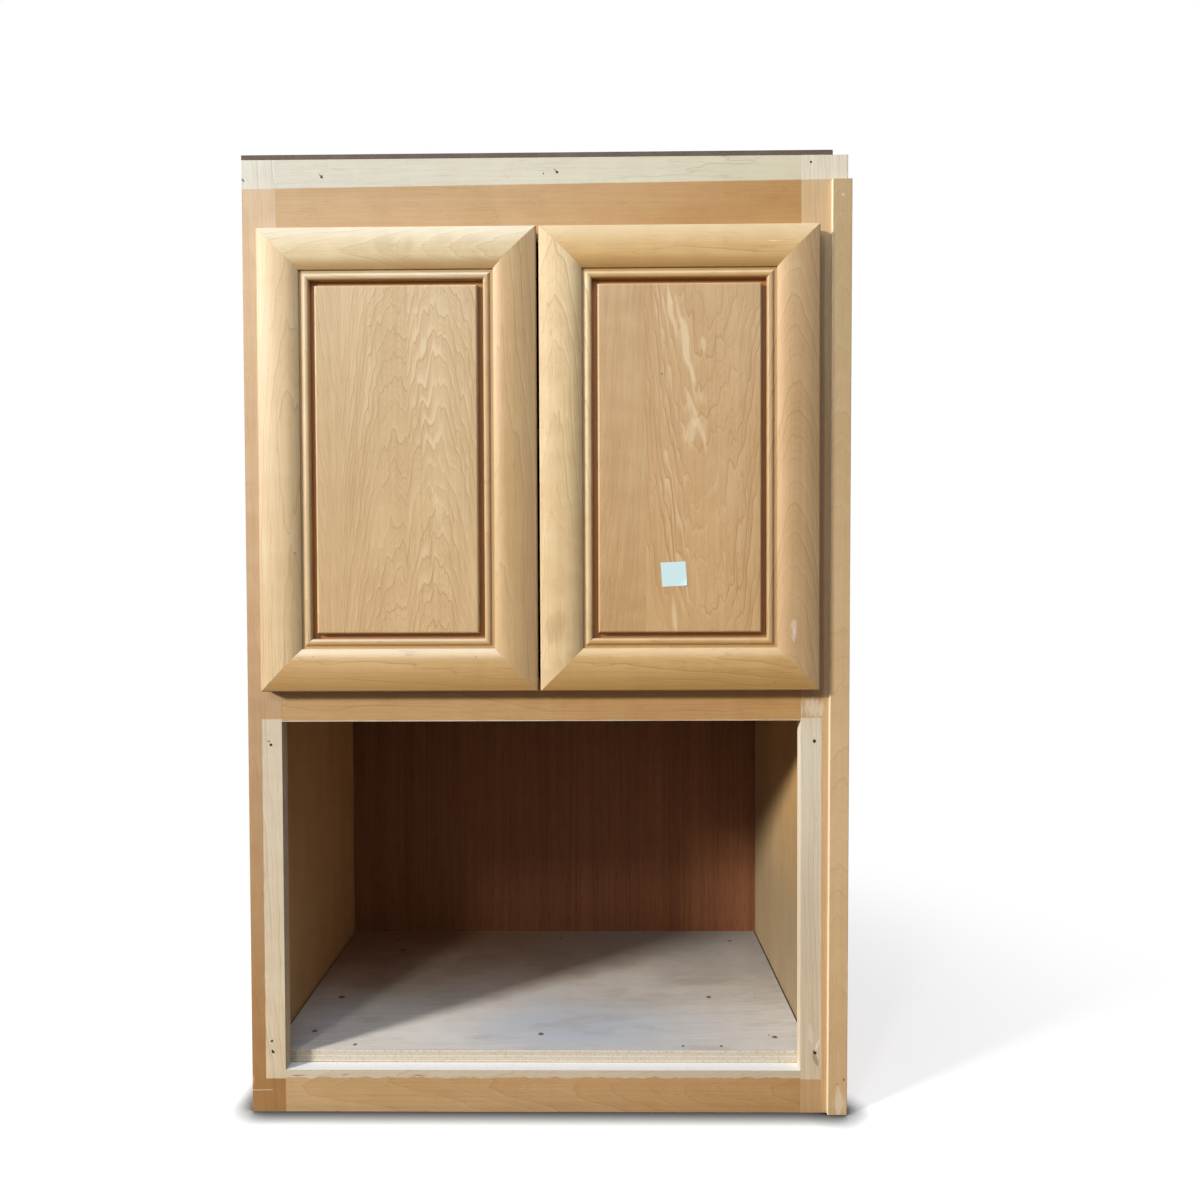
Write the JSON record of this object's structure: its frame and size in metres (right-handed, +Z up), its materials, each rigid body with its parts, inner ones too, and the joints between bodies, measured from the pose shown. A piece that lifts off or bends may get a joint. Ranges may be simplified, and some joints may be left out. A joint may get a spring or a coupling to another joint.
{
  "type": "kitchen wall cabinet",
  "caption": "Face-framed maple wall cabinet: mitred raised-panel doors on concealed hinges over an open microwave bay, with a lift-off shelf inside.",
  "frame": {"origin": "under the middle of the whole cabinet's box, on the plane of its bottom edges", "axes": "+Z up, +Y into the cabinet towards the wall, +X to the right as seen from the room; the doors face -Y"},
  "size_m": [0.7656, 0.482, 1.2184],
  "materials": {
    "maple_frame": "amber lacquered maple, pale bare bands where mouldings were taken off",
    "maple_door": "honey lacquered maple, satin",
    "maple_panel": "honey lacquered maple in glued boards, satin",
    "maple_strip": "light lacquered maple, pale bare left edge",
    "veneered_side": "maple veneered board, satin",
    "plywood_floor": "bare plywood, worn and dusty, layered edge",
    "veneered_panel": "maple veneered plywood",
    "red_plywood_back": "thin dark red-brown plywood",
    "brown_hardboard": "dusty grey-brown hardboard",
    "hang_rail_wood": "bare softwood",
    "beech_dowel": "bare beech",
    "nickel_hinge": "nickel plated pressed steel",
    "spring_steel": "dark spring steel",
    "zinc_screw": "zinc plated steel",
    "steel_nail": "dull steel",
    "clear_bumper": "soft clear plastic"
  },
  "bodies": {
    "root": {"left_stile": "maple_frame", "right_stile": "maple_frame", "top_rail": "maple_frame", "mid_rail": "maple_frame", "bottom_rail": "maple_frame", "scribe_strip": "maple_strip", "frame_dowels": "beech_dowel", "strip_brads": "steel_nail", "left_side": "veneered_side", "right_side": "veneered_side", "bottom_panel": "veneered_panel", "bay_floor_board": "plywood_floor", "floor_board_nails": "steel_nail", "fixed_deck": "veneered_panel", "back_panel": "red_plywood_back", "top_sheet": "brown_hardboard", "top_hang_rail": "hang_rail_wood", "mid_hang_rail": "hang_rail_wood", "bottom_hang_rail": "hang_rail_wood", "bottom_glue_blocks": "hang_rail_wood", "top_glue_blocks": "hang_rail_wood", "shelf_pins": "nickel_hinge", "left_lower_hinge_arm": "nickel_hinge", "left_upper_hinge_arm": "nickel_hinge", "left_plate_screws": "zinc_screw", "right_lower_hinge_arm": "nickel_hinge", "right_upper_hinge_arm": "nickel_hinge", "right_plate_screws": "zinc_screw"},
    "left_door": {"left_door_hinge_stile": "maple_door", "left_door_free_stile": "maple_door", "left_door_top_rail": "maple_door", "left_door_bottom_rail": "maple_door", "left_door_panel": "maple_panel", "left_door_splines": "beech_dowel", "left_door_bumpers": "clear_bumper", "left_lower_hinge_cup": "nickel_hinge", "left_upper_hinge_cup": "nickel_hinge", "left_hinge_pins": "steel_nail", "left_hinge_springs": "spring_steel", "left_cup_screws": "zinc_screw"},
    "right_door": {"right_door_hinge_stile": "maple_door", "right_door_free_stile": "maple_door", "right_door_top_rail": "maple_door", "right_door_bottom_rail": "maple_door", "right_door_panel": "maple_panel", "right_door_splines": "beech_dowel", "right_door_bumpers": "clear_bumper", "right_lower_hinge_cup": "nickel_hinge", "right_upper_hinge_cup": "nickel_hinge", "right_hinge_pins": "steel_nail", "right_hinge_springs": "spring_steel", "right_cup_screws": "zinc_screw"},
    "shelf": {"adjustable_shelf": "veneered_panel", "shelf_front_edge": "maple_frame"}
  },
  "joints": [
    {"name": "left_door_hinge", "type": "hinge", "parent": "root", "child": "left_door", "pos_m": [-0.34995, -0.228, 0.83195], "axis": [0, 0, -1], "range_deg": [0, 105]},
    {"name": "right_door_hinge", "type": "hinge", "parent": "root", "child": "right_door", "pos_m": [0.33115, -0.228, 0.83195], "axis": [0, 0, 1], "range_deg": [0, 105]},
    {"name": "shelf_lift", "type": "slide", "parent": "root", "child": "shelf", "axis": [0, 0, 1], "range_m": [0, 0.224]}
  ]
}
